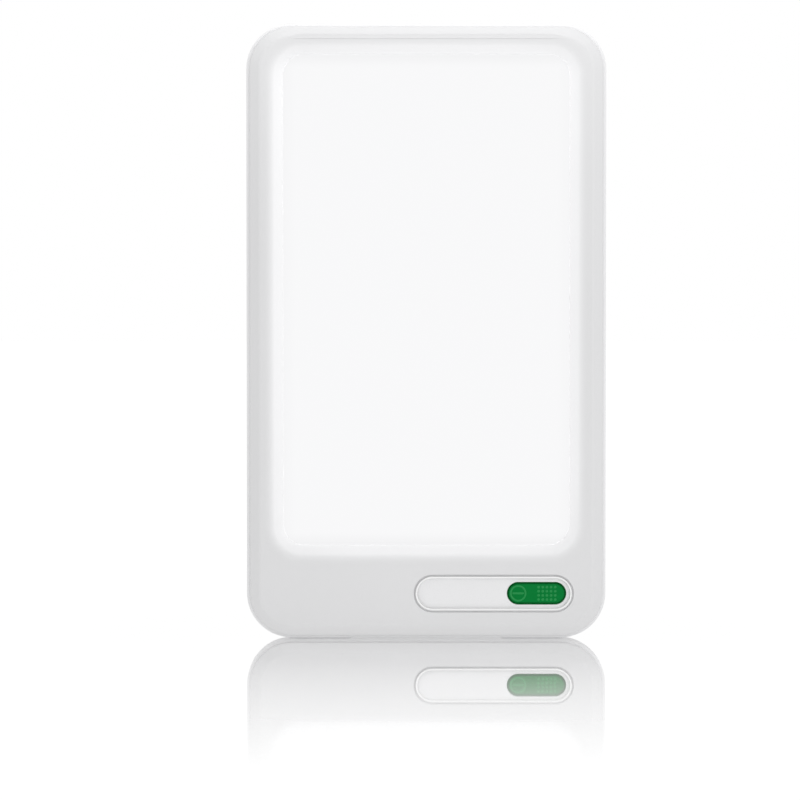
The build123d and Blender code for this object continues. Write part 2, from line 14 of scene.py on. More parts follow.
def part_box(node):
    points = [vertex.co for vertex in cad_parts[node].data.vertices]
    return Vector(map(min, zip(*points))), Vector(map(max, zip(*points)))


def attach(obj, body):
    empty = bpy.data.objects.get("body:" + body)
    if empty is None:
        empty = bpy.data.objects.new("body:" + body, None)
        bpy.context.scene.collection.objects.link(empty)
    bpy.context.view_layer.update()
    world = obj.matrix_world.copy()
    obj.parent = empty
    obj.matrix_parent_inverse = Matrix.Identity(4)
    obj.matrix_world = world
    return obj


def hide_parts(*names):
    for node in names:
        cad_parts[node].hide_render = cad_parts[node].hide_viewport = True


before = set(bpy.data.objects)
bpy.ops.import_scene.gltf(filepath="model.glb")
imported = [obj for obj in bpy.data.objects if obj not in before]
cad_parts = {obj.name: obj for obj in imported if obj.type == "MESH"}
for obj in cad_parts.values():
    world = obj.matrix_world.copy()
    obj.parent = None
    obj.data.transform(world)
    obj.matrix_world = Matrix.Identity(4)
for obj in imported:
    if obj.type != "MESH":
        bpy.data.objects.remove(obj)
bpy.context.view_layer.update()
mm = 0.001

# %% [markdown]
# ## Paths and profiles
# Almost every form on a moulded housing is one cross-section carried round a rounded
# outline: the bevelled edge, the funnel round the light, the bead round the switch. So the
# first tools are an outline with its outward directions, and a cross-section made of lines
# and arcs that knows its own direction. Together they also give the exact surface
# direction at each point, so that the shading is as smooth as the real mould.


# %% Outlines
def rounded_outline(width, height, corner, x=0.0, z=0.0, steps=16):
    """Points and outward directions once round a rounded rectangle in the X-Z plane.
    A point of a corner is its centre plus the corner radius times (cos t, sin t); t runs
    through a quarter turn at each corner, and the straight sides are the gaps between."""
    t = np.concatenate([np.linspace(q, q + 1, steps + 1) for q in range(4)]) * np.pi / 2
    side_x = np.repeat([1, -1, -1, 1], steps + 1)
    side_z = np.repeat([1, 1, -1, -1], steps + 1)
    out = np.stack([np.cos(t), np.sin(t)], axis=1)
    centre = np.stack([x + side_x * (width / 2 - corner), z + side_z * (height / 2 - corner)], axis=1)
    points = centre + corner * out
    # Corners with no straight side between them share a point, and one of the two goes.
    apart = np.linalg.norm(points - np.roll(points, -1, axis=0), axis=1) > 1e-9
    return points[apart], out[apart]


def outline_of(node, corner=None, grow=0.0, steps=16):
    """Rounded outline of a CAD node as seen from the front; a slot when no corner is given."""
    low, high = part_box(node)
    width, height = high.x - low.x + 2 * grow, high.z - low.z + 2 * grow
    corner = height / 2 if corner is None else corner + grow
    return rounded_outline(width, height, corner, (low.x + high.x) / 2, (low.z + high.z) / 2, steps)


def at_inset(outline, inset):
    """The outline's points moved inwards; a negative inset moves them outwards."""
    return outline[0] - inset * outline[1]


# %% Cross-sections
# A cross-section is a list of (inset, depth) points: inset is measured inwards from the
# outline, and depth towards the back.
def line(start, end):
    """Straight stretch: its two ends and their one direction."""
    points = np.array([start, end], float)
    along = points[1] - points[0]
    return points, np.tile(along / np.linalg.norm(along), (2, 1))


def arc(centre, radius, start, end, steps=10):
    """Round stretch: centre plus radius times (cos a, sin a), with a in degrees."""
    a = np.radians(np.linspace(start, end, steps + 1))
    turn = np.sign(end - start)
    points = np.array(centre) + radius * np.stack([np.cos(a), np.sin(a)], axis=1)
    return points, turn * np.stack([-np.sin(a), np.cos(a)], axis=1)


# %% [markdown]
# ## One skin for each piece
# A piece is put together from grids and flat fills. Each brings its own surface
# directions, the points that coincide are welded, and each corner of each face keeps the
# direction that was worked out for it. A Bevel modifier and weighted normals would come
# near this. Done here, a broad flat face stays truly flat beside a rounded edge, with no
# extra loops, and the piece is closed.

# %% Skins
weld_distance = 1e-4 * mm


def place_object(name, data):
    """An object at the origin that shows a mesh, a lamp or a camera."""
    made = bpy.data.objects.new(name, data)
    bpy.context.scene.collection.objects.link(made)
    return made


class Skin:
    """Collects faces with the surface direction at each of their corners."""

    def __init__(self):
        self.points, self.directions, self.faces = [], [], []

    def add(self, points, directions, faces):
        """Adds faces of three or four corners. A face's own direction is the cross product
        of its diagonals, and a face that looks against the surface is turned round."""
        corners = points[faces]
        normals = np.cross(corners[:, 2] - corners[:, 0], corners[:, -1] - corners[:, 1])
        agrees = (normals * directions[faces].sum(axis=1)).sum(axis=1) > 0
        start = sum(len(p) for p in self.points)
        self.faces += (start + np.where(agrees[:, None], faces, faces[:, ::-1])).tolist()
        self.points.append(points)
        self.directions.append(directions)

    def grid(self, points, directions):
        """Quads between neighbouring rows of a grid of points, each row closed to a ring."""
        rows, columns = points.shape[:2]
        index = np.arange(rows * columns).reshape(rows, columns)
        index = np.concatenate([index, index[:, :1]], axis=1)
        quads = np.stack([index[:-1, :-1], index[:-1, 1:], index[1:, 1:], index[1:, :-1]], axis=-1)
        self.add(points.reshape(-1, 3), directions.reshape(-1, 3), quads.reshape(-1, 4))

    def carry(self, outline, section, crest):
        """Surface of a cross-section carried round an outline: at inset i and depth d the
        point is the outline's point less i times its outward direction, at crest + d. The
        surface looks along the outward direction and depth, turned a right angle from the
        section's own direction."""
        path, out = outline
        stretch, heading = section
        flat = path[None] - stretch[:, 0, None, None] * out[None]
        depth = np.repeat(crest + stretch[:, 1, None], len(path), axis=1)
        points = np.stack([flat[..., 0], depth, flat[..., 1]], axis=-1)
        sideways = -heading[:, 1, None, None] * out[None]
        ahead = np.repeat(-heading[:, 0, None], len(path), axis=1)
        self.grid(points, np.stack([sideways[..., 0], ahead, sideways[..., 1]], axis=-1))

    def turn(self, section, centre, axis, steps=48):
        """Surface of revolution: at angle t the section's point (radius, along) goes to the
        centre, plus radius times (cos t, sin t) in the two other axes, plus along in its own.
        It looks along the section's own direction turned a right angle outwards."""
        stretch, heading = section
        t = np.arange(steps) * 2 * np.pi / steps
        spokes = np.zeros((steps, 3))
        spokes[:, axis - 2], spokes[:, axis - 1] = np.cos(t), np.sin(t)
        along = np.eye(3)[axis]
        points = np.array(centre) + stretch[:, :1, None] * spokes + stretch[:, 1:, None] * along
        self.grid(points, heading[:, 1:, None] * spokes - heading[:, :1, None] * along)

    def fill(self, edge, holes, depth, facing):
        """Flat face inside one outline and outside others, at one depth, in triangles."""
        loops = [edge] + list(holes)
        flat = np.concatenate(loops)
        starts = np.cumsum([0] + [len(loop) for loop in loops])
        rings = [list(range(a, b)) for a, b in zip(starts, starts[1:])]
        made = delaunay_2d_cdt([Vector(p) for p in flat / mm], [], rings, 0, 1e-6)
        flat = np.array([list(v) for v in made[0]]) * mm
        # A triangle is kept where it lies in the first loop, the edge, and in no hole.
        inside = np.array([list(f) for f, origin in zip(made[2], made[5]) if origin == [0]])
        points = np.stack([flat[:, 0], np.full(len(flat), depth), flat[:, 1]], axis=1)
        self.add(points, np.tile([0.0, facing, 0.0], (len(points), 1)), inside)

    def piece(self, name, body, slot, *nodes):
        """Welds the skin into one mesh, puts it in its body, and hides the CAD nodes that it
        stands for; the slot is not used. Points that round to the same multiple of the weld
        distance become one, and a face drops the corners that this leaves double."""
        points = np.concatenate(self.points)
        rounded = np.round(points / weld_distance).astype(np.int64)
        found = np.unique(rounded, axis=0, return_index=True, return_inverse=True)
        first, welded = found[1], found[2].ravel().tolist()
        faces, corners = [], []
        for face in self.faces:
            kept = [i for k, i in enumerate(face) if welded[i] != welded[face[k - 1]]]
            if len(kept) > 2:
                faces.append([welded[i] for i in kept])
                corners += kept
        looks = np.concatenate(self.directions)[corners]
        looks /= np.linalg.norm(looks, axis=1, keepdims=True)
        mesh = bpy.data.meshes.new(name)
        mesh.from_pydata(points[first].tolist(), [], faces)
        mesh.polygons.foreach_set("use_smooth", [True] * len(faces))
        mesh.normals_split_custom_set(looks.tolist())
        made = place_object(name, mesh)
        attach(made, body)
        if nodes:
            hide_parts(*nodes)
        print(name, "-", len(first), "points,", len(faces), "faces")
        return made


# %% [markdown]
# ## The front bezel
# The bezel is one moulding: a side that meets the rear shell in a fine seam, a narrow bevel
# between two rounds, a flat crest, and a funnel that falls to the lit panel with a soft
# shoulder. A box with rounded edges comes near it, but nearly all the light on this lamp
# plays in these few millimetres, so the section is drawn exactly and carried round.

# %% The bezel's edge
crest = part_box("front_bezel")[0].y
bezel_corner = 17.7 * mm
bezel_edge = outline_of("front_bezel", bezel_corner, steps=28)
side_depth, wall = 5.0 * mm, 2.0 * mm
edge_round, crown_round = 1.0 * mm, 3.0 * mm
bevel_run, bevel_turn = 3.0 * mm, 62.0

# The side turns by the bevel's angle round the edge, runs straight, and turns the rest of a
# right angle round the crown.
bevel_cos, bevel_sin = np.cos(np.radians(bevel_turn)), np.sin(np.radians(bevel_turn))
bevel_high = crown_round * (1 - bevel_sin)
bevel_low = bevel_high + bevel_run * bevel_cos / bevel_sin
bevel_in = edge_round * (1 - bevel_cos)
edge_depth = bevel_low + edge_round * bevel_sin
crest_in = bevel_in + bevel_run + crown_round * bevel_cos

bezel = Skin()
bezel.carry(bezel_edge, line((0, side_depth), (0, edge_depth)), crest)
bezel.carry(bezel_edge, arc((edge_round, edge_depth), edge_round, 180, 180 + bevel_turn, 8), crest)
bezel.carry(bezel_edge, line((bevel_in, bevel_low), (bevel_in + bevel_run, bevel_high)), crest)
bezel.carry(bezel_edge, arc((crest_in, crown_round), crown_round, 180 + bevel_turn, 270, 6), crest)
print("the crest starts", round(float(crest_in / mm), 2), "mm in from the side")

# %% The funnel round the light
window_overlap, window_corner = 3.2 * mm, 9.0 * mm
slope_run, slope_drop = 5.8 * mm, 3.2 * mm
shoulder = 9.7 * mm
land = 5.0 * mm
panel_low, panel_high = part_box("diffuser_panel")
panel_depth = panel_low.y - crest
window = outline_of("diffuser_panel", window_corner + window_overlap, grow=-window_overlap, steps=28)

# The shoulder rounds the corner between crest and slope; its tangents are as long as its
# radius times the tangent of half the slope's angle. Below the slope a short wall goes down
# to the panel, and a flat ledge, the land, lies on the panel and hides its edge.
slope_angle = np.arctan2(slope_drop, slope_run)
slope_degrees = float(np.degrees(slope_angle))
mouth = slope_run + shoulder * np.tan(slope_angle / 2)
slope_start = (-mouth + shoulder * np.sin(slope_angle), shoulder - shoulder * np.cos(slope_angle))
bezel.carry(window, arc((-mouth, shoulder), shoulder, 270, 270 + slope_degrees, 8), crest)
bezel.carry(window, line(slope_start, (0, slope_drop)), crest)
bezel.carry(window, line((0, slope_drop), (0, panel_depth)), crest)
bezel.carry(window, line((0, panel_depth), (-land, panel_depth)), crest)
bezel.carry(window, line((-land, panel_depth), (-land, wall)), crest)
print("the funnel falls", round(slope_degrees, 1), "degrees")

# %% [markdown]
# A fine groove parts the bead round the switch from the crest, and its shadow draws the
# switch's outline. Behind, the wall is thinned to a web over the track in which the
# switch's strip slides.

# %% The switch's groove and the back
groove_width, groove_depth, groove_round = 0.7 * mm, 0.9 * mm, 0.15 * mm
ring_gap = 0.05 * mm
web, tray_wall, slide_gap = 1.0 * mm, 1.2 * mm, 0.3 * mm
sharp = 0.01 * mm  # so small a corner looks sharp, and still has its outward directions
switch_ring = outline_of("switch_trim_ring", steps=48)
tray_low, tray_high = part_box("switch_tray")
strip_low, strip_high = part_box("switch_carriage")
track = rounded_outline(tray_high.x - tray_low.x - 2 * tray_wall, strip_high.z - strip_low.z + 2 * slide_gap,
                        sharp, (tray_low.x + tray_high.x) / 2, (strip_low.z + strip_high.z) / 2, 1)

groove_out = groove_width + groove_round
bezel.fill(at_inset(bezel_edge, crest_in),
           [at_inset(window, -mouth), at_inset(switch_ring, -groove_out)], crest, -1.0)
bezel.carry(switch_ring, arc((-groove_out, groove_round), groove_round, 270, 360, 4), crest)
bezel.carry(switch_ring, line((-groove_width, groove_round), (-groove_width, groove_depth)), crest)
bezel.carry(switch_ring, line((-groove_width, groove_depth), (-ring_gap, groove_depth)), crest)
bezel.carry(switch_ring, line((-ring_gap, groove_depth), (-ring_gap, web)), crest)
bezel.fill(track[0], [at_inset(switch_ring, -ring_gap)], crest + web, 1.0)
bezel.carry(track, line((0, web), (0, wall)), crest)
bezel.fill(at_inset(bezel_edge, wall), [at_inset(window, -land), track[0]], crest + wall, 1.0)
bezel.carry(bezel_edge, line((wall, wall), (wall, side_depth)), crest)
bezel.carry(bezel_edge, line((wall, side_depth), (0, side_depth)), crest)
front_face = bezel.piece("bezel_front", "housing", "bezel_abs", "front_bezel")

# %% [markdown]
# ## The slide switch
# A polished bead stands round the switch. Inside it a flat strip slides, and it carries
# the green grip. The strip has a through hole for the grip, with a soft lip, and the grip
# has a flange behind the strip, as wide as the strip's own round end allows. Blocks cut
# from each other and bevelled would also give them. Carried sections need no cuts, and the
# half-round bead keeps its even line of light all the way round.

# %% Bead
ring_width, ring_proud, ring_back = 0.9 * mm, 0.3 * mm, 1.0 * mm
bead_round = ring_width / 2
bead_low = bead_round - ring_proud

bead = Skin()
bead.carry(switch_ring, line((0, ring_back), (0, bead_low)), crest)
bead.carry(switch_ring, arc((bead_round, bead_low), bead_round, 180, 360, 14), crest)
bead.carry(switch_ring, line((ring_width, bead_low), (ring_width, ring_back)), crest)
bead.carry(switch_ring, line((ring_width, ring_back), (0, ring_back)), crest)
bead_piece = bead.piece("switch_bead", "housing", "ring_abs", "switch_trim_ring")

# %% Strip
grip_flange, grip_gap, pocket_round = 1.5 * mm, 0.85 * mm, 0.3 * mm
strip_front = strip_low.y
strip_thickness = strip_high.y - strip_front
strip_edge = outline_of("switch_carriage", steps=48)
grip_edge = outline_of("switch_grip", grow=-grip_flange, steps=40)
lip_out = grip_gap + pocket_round

strip = Skin()
strip.fill(strip_edge[0], [at_inset(grip_edge, -lip_out)], strip_front, -1.0)
strip.carry(grip_edge, arc((-lip_out, pocket_round), pocket_round, 270, 360, 6), strip_front)
strip.carry(grip_edge, line((-grip_gap, pocket_round), (-grip_gap, strip_thickness)), strip_front)
strip.fill(strip_edge[0], [at_inset(grip_edge, -grip_gap)], strip_front + strip_thickness, 1.0)
strip.carry(strip_edge, line((0, strip_thickness), (0, 0)), strip_front)
strip_piece = strip.piece("switch_strip", "slider", "carriage_abs", "switch_carriage")

# %% Grip body
grip_low, grip_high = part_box("switch_grip")
grip_front, grip_back = grip_low.y, grip_high.y - grip_low.y
flange_thickness, grip_round = 1.0 * mm, 0.35 * mm
flange_front = grip_back - flange_thickness
flange_edge = outline_of("switch_grip", steps=40)
magnet_seat = outline_of("switch_magnet", steps=12)
magnet_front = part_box("switch_magnet")[0].y - grip_front

grip = Skin()
grip.carry(flange_edge, line((0, grip_back), (0, flange_front)), grip_front)
grip.fill(flange_edge[0], [grip_edge[0]], grip_front + flange_front, -1.0)
grip.carry(grip_edge, line((0, flange_front), (0, grip_round)), grip_front)
grip.carry(grip_edge, arc((grip_round, grip_round), grip_round, 180, 270, 8), grip_front)
grip.fill(at_inset(grip_edge, grip_round), [], grip_front, -1.0)
grip.fill(flange_edge[0], [magnet_seat[0]], grip_front + grip_back, 1.0)
grip.carry(magnet_seat, line((0, magnet_front), (0, grip_back)), grip_front)
grip.fill(magnet_seat[0], [], grip_front + magnet_front, 1.0)
grip_piece = grip.piece("switch_grip_body", "slider", "green_abs", "switch_grip")

# %% [markdown]
# The thumb finds the grip by touch: a raised ring with a bar at one end and four rows of
# five dots at the other. Each is a low round bead, a circle's arc over a narrow foot, so it
# catches a thin line of light. The ring and the dots are the same section carried round
# circles; a dot's section simply ends at its own centre.

# %% Sign and dots
sign_x, sign_radius, sign_width = 38.9 * mm, 3.5 * mm, 0.75 * mm
bar_length, bar_width = 4.9 * mm, 0.9 * mm
dots_x, dot_radius, dot_pitch = 51.05 * mm, 0.58 * mm, 1.76 * mm
dot_columns, dot_rows = 5, 4
raised, rooted = 0.15 * mm, 0.1 * mm
grip_z = (strip_low.z + strip_high.z) / 2


def bead_arc(width, height, share=1.0):
    """Low arc over a foot of one width, whose radius is (half width squared plus height
    squared) over twice the height; share 0.5 stops at its top."""
    radius = (width ** 2 / 4 + height ** 2) / (2 * height)
    half = np.degrees(np.arcsin(width / 2 / radius))
    return arc((width / 2, radius - height), radius, 270 - half, 270 + half * (2 * share - 1), 6)


sign = Skin()
sign_ring = rounded_outline(2 * sign_radius, 2 * sign_radius, sign_radius, sign_x, grip_z, 12)
sign.carry(sign_ring, line((0, rooted), (0, 0)), grip_front)
sign.carry(sign_ring, bead_arc(sign_width, raised), grip_front)
sign.carry(sign_ring, line((sign_width, 0), (sign_width, rooted)), grip_front)
sign.carry(sign_ring, line((sign_width, rooted), (0, rooted)), grip_front)

bar_end = bar_width / 2 - 0.001 * mm  # a hair less than half, so that the bar keeps two sides
low_beads = [(bar_width, rounded_outline(bar_length, bar_width, bar_end, sign_x, grip_z, 6))]
for row in range(dot_rows):
    for column in range(dot_columns):
        dot_x = dots_x + (column - (dot_columns - 1) / 2) * dot_pitch
        dot_z = grip_z + (row - (dot_rows - 1) / 2) * dot_pitch
        dot = rounded_outline(2 * dot_radius, 2 * dot_radius, dot_radius, dot_x, dot_z, 4)
        low_beads.append((2 * dot_radius, dot))
for foot_width, edge in low_beads:
    sign.carry(edge, line((0, rooted), (0, 0)), grip_front)
    sign.carry(edge, bead_arc(foot_width, raised, 0.5), grip_front)
    sign.fill(edge[0], [], grip_front + rooted, 1.0)
sign_piece = sign.piece("grip_sign_and_dots", "slider", "green_abs")

# %% [markdown]
# ## The stand's foot and the housing's screws
# The rubber sleeve on the leg's tip is grooved so that it grips a table. The four screws at
# the back have low domed heads with a cross to turn them by. Both are turned shapes: a
# profile of radius against length, carried round an axis. Grooves and crosses could be
# drawn by a bump alone, but they break the outline and hold real shadows, so they are cut
# into the shape.

# %% Grooved rubber foot
foot_low, foot_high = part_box("stand_foot")
foot_radius = (foot_high.z - foot_low.z) / 2
foot_half = (foot_high.x - foot_low.x) / 2
foot_centre = (0.0, (foot_low.y + foot_high.y) / 2, (foot_low.z + foot_high.z) / 2)
groove_pitch, groove_sink, foot_round = 2.5 * mm, 0.3 * mm, 0.5 * mm
foot_steps = 240

# The radius dips by the fourth power of a cosine where that cosine is below nought, which
# leaves broad lands between narrow round grooves.
along = np.linspace(foot_round - foot_half, foot_half - foot_round, foot_steps + 1)
dip = groove_sink * np.clip(-np.cos(2 * np.pi * along / groove_pitch), 0, 1) ** 4
radius_slope = np.gradient(foot_radius - dip, along)
side = (np.stack([foot_radius - dip, along], axis=1),
        np.stack([radius_slope, np.ones(foot_steps + 1)], axis=1))
end_radius = foot_radius - dip[0] - foot_round

foot = Skin()
foot.turn(line((0, -foot_half), (end_radius, -foot_half)), foot_centre, 0)
foot.turn(arc((end_radius, foot_round - foot_half), foot_round, -90, 0, 6), foot_centre, 0)
foot.turn(side, foot_centre, 0)
foot.turn(arc((end_radius, foot_half - foot_round), foot_round, 0, 90, 6), foot_centre, 0)
foot.turn(line((end_radius, foot_half), (0, foot_half)), foot_centre, 0)
foot_piece = foot.piece("stand_foot_sleeve", "leg", "rubber", "stand_foot")

# %% Screw heads with a cross
screws_low, screws_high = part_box("housing_screws")
head_radius, head_height, head_edge, dome = 2.6 * mm, 2.0 * mm, 0.5 * mm, 0.35 * mm
shank_radius, tip_radius = 1.25 * mm, 0.5 * mm
cross_arm, cross_reach, cross_deep, cross_slope = 0.75 * mm, 1.35 * mm, 0.9 * mm, 0.18 * mm
cross_rings, screw_steps = 28, 64


def cross_face(radius):
    """Domed disc with a cross sunk into it: at (u, v) the height is the dome, 1 less (r / R)
    squared, less the cross's depth times how far (u, v) is inside an arm, which goes from 0
    at the arm's wall to 1 over a short slope."""
    def height(u, v):
        near, far = np.minimum(abs(u), abs(v)), np.maximum(abs(u), abs(v))
        across_arm = np.clip((cross_arm / 2 - near) / cross_slope, 0, 1)
        along_arm = np.clip((cross_reach - far) / cross_slope, 0, 1)
        return dome * (1 - (u ** 2 + v ** 2) / radius ** 2) - cross_deep * across_arm * along_arm

    r = np.linspace(radius, 0, cross_rings + 1)[:, None]
    t = np.arange(screw_steps) * 2 * np.pi / screw_steps
    u, v = r * np.cos(t), r * np.sin(t)
    nudge = 0.01 * mm
    across = (height(u + nudge, v) - height(u - nudge, v)) / (2 * nudge)
    upwards = (height(u, v + nudge) - height(u, v - nudge)) / (2 * nudge)
    points = np.stack([u, height(u, v), v], axis=-1)
    return points, np.stack([-across, np.ones_like(u), -upwards], axis=-1)


tip, cone_end = screws_low.y, screws_low.y + 2 * shank_radius
seat, rim = screws_high.y - head_height, screws_high.y - dome
face_points, face_directions = cross_face(head_radius - head_edge)
corner_x = (screws_high.x - screws_low.x) / 2 - head_radius

screws = Skin()
for x in (-corner_x, corner_x):
    for z in (screws_low.z + head_radius, screws_high.z - head_radius):
        for stretch in (line((0, tip), (tip_radius, tip)),
                        line((tip_radius, tip), (shank_radius, cone_end)),
                        line((shank_radius, cone_end), (shank_radius, seat)),
                        line((shank_radius, seat), (head_radius, seat)),
                        line((head_radius, seat), (head_radius, rim - head_edge)),
                        arc((head_radius - head_edge, rim - head_edge), head_edge, 0, 90, 6)):
            screws.turn(stretch, (x, 0.0, z), 1, screw_steps)
        screws.grid(face_points + np.array([x, rim, z]), face_directions)
screw_piece = screws.piece("housing_screws_cross", "housing", "steel", "housing_screws")

# %% [markdown]
# ## The power socket
# The socket's nose shows in the right side. Its mouth is led in by a small slope so that a
# plug finds it, and the centre contact has a round tip. Behind the wall the nose grows out
# of a square body. A cube and a cylinder could be joined and bored, but here the body's
# rings are simply circles pushed out to a square, so round and square meet point by point.

# %% Socket body
jack_low, jack_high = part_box("dc_jack_housing")
pin_low, pin_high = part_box("dc_jack_pin")
jack_half = (jack_high.z - jack_low.z) / 2
jack_axis = np.array([0.0, (jack_low.y + jack_high.y) / 2, (jack_low.z + jack_high.z) / 2])
nose_radius, nose_length, nose_lip = 4.0 * mm, 1.6 * mm, 0.4 * mm
bore_radius, lead_in = 2.85 * mm, 0.35 * mm
nose_start, nose_end, bore_end = jack_high.x - nose_length, jack_high.x, pin_low.x
socket_steps, contact_steps = 64, 32


def socket_ring(x, radius, square=False):
    """Ring at one x, radius times (cos t, sin t), with its outward directions. A square ring
    has each direction divided by its larger part, which puts it on a square's sides."""
    t = np.arange(socket_steps) * 2 * np.pi / socket_steps
    out = np.stack([np.zeros_like(t), np.cos(t), np.sin(t)], axis=1)
    reach = out / np.abs(out).max(axis=1, keepdims=True) if square else out
    return jack_axis + radius * reach + np.array([x, 0.0, 0.0]), out


collar, out = socket_ring(nose_start, nose_radius)
body_front, body_back = (socket_ring(x, jack_half, square=True)[0] for x in (nose_start, jack_low.x))
back_centre = socket_ring(jack_low.x, 0.0)[0]
forward = np.tile([1.0, 0.0, 0.0], (socket_steps, 1))

socket = Skin()
for near, far, looks in ((collar, body_front, forward),
                         (body_front, body_back, out),
                         (body_back, back_centre, -forward)):
    socket.grid(np.stack([near, far]), np.stack([looks, looks]))
for stretch in (line((nose_radius, nose_start), (nose_radius, nose_end - nose_lip)),
                arc((nose_radius - nose_lip, nose_end - nose_lip), nose_lip, 0, 90, 6),
                line((nose_radius - nose_lip, nose_end), (bore_radius + lead_in, nose_end)),
                line((bore_radius + lead_in, nose_end), (bore_radius, nose_end - lead_in)),
                line((bore_radius, nose_end - lead_in), (bore_radius, bore_end)),
                line((bore_radius, bore_end), (0, bore_end))):
    socket.turn(stretch, jack_axis, 0, socket_steps)
socket_piece = socket.piece("dc_jack_socket", "housing", "socket_plastic", "dc_jack_housing")

# %% Centre contact
pin_radius = (pin_high.z - pin_low.z) / 2
contact = Skin()
for stretch in (line((0, pin_low.x), (pin_radius, pin_low.x)),
                line((pin_radius, pin_low.x), (pin_radius, pin_high.x - pin_radius)),
                arc((0, pin_high.x - pin_radius), pin_radius, 0, 90, 8)):
    contact.turn(stretch, jack_axis, 0, contact_steps)
contact_piece = contact.piece("dc_jack_contact", "housing", "contact_brass", "dc_jack_pin")

# %% [markdown]
# ## Finishes
# One small function adds a node with its settings and its links. Colours are written as
# the hex values that a colour picker shows, and turned to linear light by one function.
# What is the same all over a surface is set on the shader itself; only what varies over
# the surface comes from a node. Painted images would do as well, but patterns worked out
# from the place on the piece have no seams, and their scale is a real size.


# %% Colours and nodes
def linear(hex_colour):
    """A #RRGGBB colour as linear red, green, blue and alpha, by the sRGB curve."""
    channels = [int(hex_colour[i:i + 2], 16) / 255 for i in (1, 3, 5)]
    return [c / 12.92 if c <= 0.04045 else ((c + 0.055) / 1.055) ** 2.4 for c in channels] + [1.0]


def add(tree, kind, settings=None, links=None):
    """Adds a node. Settings are its properties or its inputs' values; links give the socket,
    or the node with its first output, that feeds an input. Inputs go by name or number."""
    node = tree.nodes.new(kind)
    for key, value in (settings or {}).items():
        if isinstance(key, str) and hasattr(node, key) and key not in node.inputs:
            setattr(node, key, value)
        else:
            node.inputs[key].default_value = value
    for key, source in (links or {}).items():
        tree.links.new(source.outputs[0] if hasattr(source, "outputs") else source, node.inputs[key])
    return node


def new_material(name):
    """An empty material, its node tree, and the place on the piece that patterns read."""
    material = bpy.data.materials.new(name)
    material.use_nodes = True
    tree = material.node_tree
    tree.nodes.clear()
    return material, tree, add(tree, "ShaderNodeTexCoord").outputs["Object"]


def dress(finish, *pieces):
    """Gives a finish to pieces, and to CAD nodes by name."""
    for piece in pieces:
        mesh = (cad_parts[piece] if isinstance(piece, str) else piece).data
        mesh.materials.clear()
        mesh.materials.append(finish)
    print(finish.name, "on", ", ".join(p if isinstance(p, str) else p.name for p in pieces))


# %% Moulded plastics
def moulded(name, base, shade, roughness, grain, grain_height, ior=1.53, specular=0.5, spread=0.04):
    """Injection-moulded plastic: a spark-eroded texture in the bump, a drift of colour over
    60 mm as the melt flowed, and a little spread in the gloss. The finest grains of a real
    mould don't show at this size, so they are drawn as coarse as they need to show."""
    material, tree, place = new_material(name)
    drift = add(tree, "ShaderNodeTexNoise", {"Scale": 1 / (60 * mm), "Detail": 2.0}, {"Vector": place})
    colour = add(tree, "ShaderNodeMix", {"data_type": "RGBA", "A": linear(base), "B": linear(shade)},
                 {"Factor": drift.outputs["Fac"]})
    texture = add(tree, "ShaderNodeTexNoise", {"Scale": 1 / grain, "Detail": 3.0, "Roughness": 0.6},
                  {"Vector": place})
    gloss = add(tree, "ShaderNodeMapRange", {"From Min": 0.3, "From Max": 0.7,
                                             "To Min": roughness - spread, "To Max": roughness + spread},
                {"Value": texture.outputs["Fac"]})
    bump = add(tree, "ShaderNodeBump", {"Strength": 0.5, "Distance": grain_height},
               {"Height": texture.outputs["Fac"]})
    surface = add(tree, "ShaderNodeBsdfPrincipled", {"IOR": ior, "Specular IOR Level": specular},
                  {"Base Color": colour.outputs["Result"], "Roughness": gloss, "Normal": bump})
    add(tree, "ShaderNodeOutputMaterial", links={"Surface": surface})
    return material


# %% [markdown]
# The housing is ABS in a satin white. Its mould was spark-eroded, which leaves grains of
# about a third of a millimetre that soften every reflection. The rear shell and the leg
# come from a coarser mould in a slightly brighter white. The bead round the switch is the
# same plastic from a polished mould, so it shows a sharp bright line; its colour is painted
# whiter than the housing's as a painted highlight along that line. The strip is smooth with
# a soft sheen, and its colour is painted lighter than the housing's, painted light that
# lifts the shade in its recess. The green of the grip is deep and even, with very little
# white sheen over it; its sign and dots are painted a paler green, a painted highlight on
# their raised tops.

# %% Housing, bead and grip
dress(moulded("satin_white_abs", "#DFDFE0", "#DBDBDC", 0.42, 0.35 * mm, 0.004 * mm), front_face)
dress(moulded("textured_white_abs", "#EEEEEF", "#EAEAEB", 0.5, 0.5 * mm, 0.008 * mm),
      "rear_shell", "stand_leg")
# Painted highlight: the bead's colour is whiter than the housing's so that it reads as a bright line.
dress(moulded("polished_white_abs_painted_highlight", "#F2F2F2", "#EFEFEF", 0.16, 0.9 * mm, 0.001 * mm), bead_piece)
# Painted light: the strip is coloured lighter than the housing so that the shade in its recess doesn't darken
# it.
dress(moulded("smooth_white_abs_painted_light", "#ECECED", "#E8E8E9", 0.3, 0.4 * mm, 0.003 * mm), strip_piece)
dress(moulded("green_abs", "#017431", "#037A35", 0.36, 0.3 * mm, 0.003 * mm, specular=0.05), grip_piece)
# Painted highlight: the sign and dots are a paler green than the grip, for the light their raised tops catch.
dress(moulded("green_abs_painted_highlight", "#148740", "#1A8D47", 0.28, 0.3 * mm, 0.001 * mm, specular=0.2),
      sign_piece)

# %% [markdown]
# The feet are silicone rubber, dull and slightly soft to the eye. Inside are the usual
# moulded pieces of such a lamp, and they differ in colour, in gloss and in the size of
# their grain.

# %% Rubber, inner plastics and ceramics
# Silicone scatters light in its depth, so it is dull and has no hard highlights.
dress(moulded("grey_silicone_rubber", "#D0D0D1", "#C8C8CA", 0.62, 0.6 * mm, 0.01 * mm, 1.41), foot_piece)
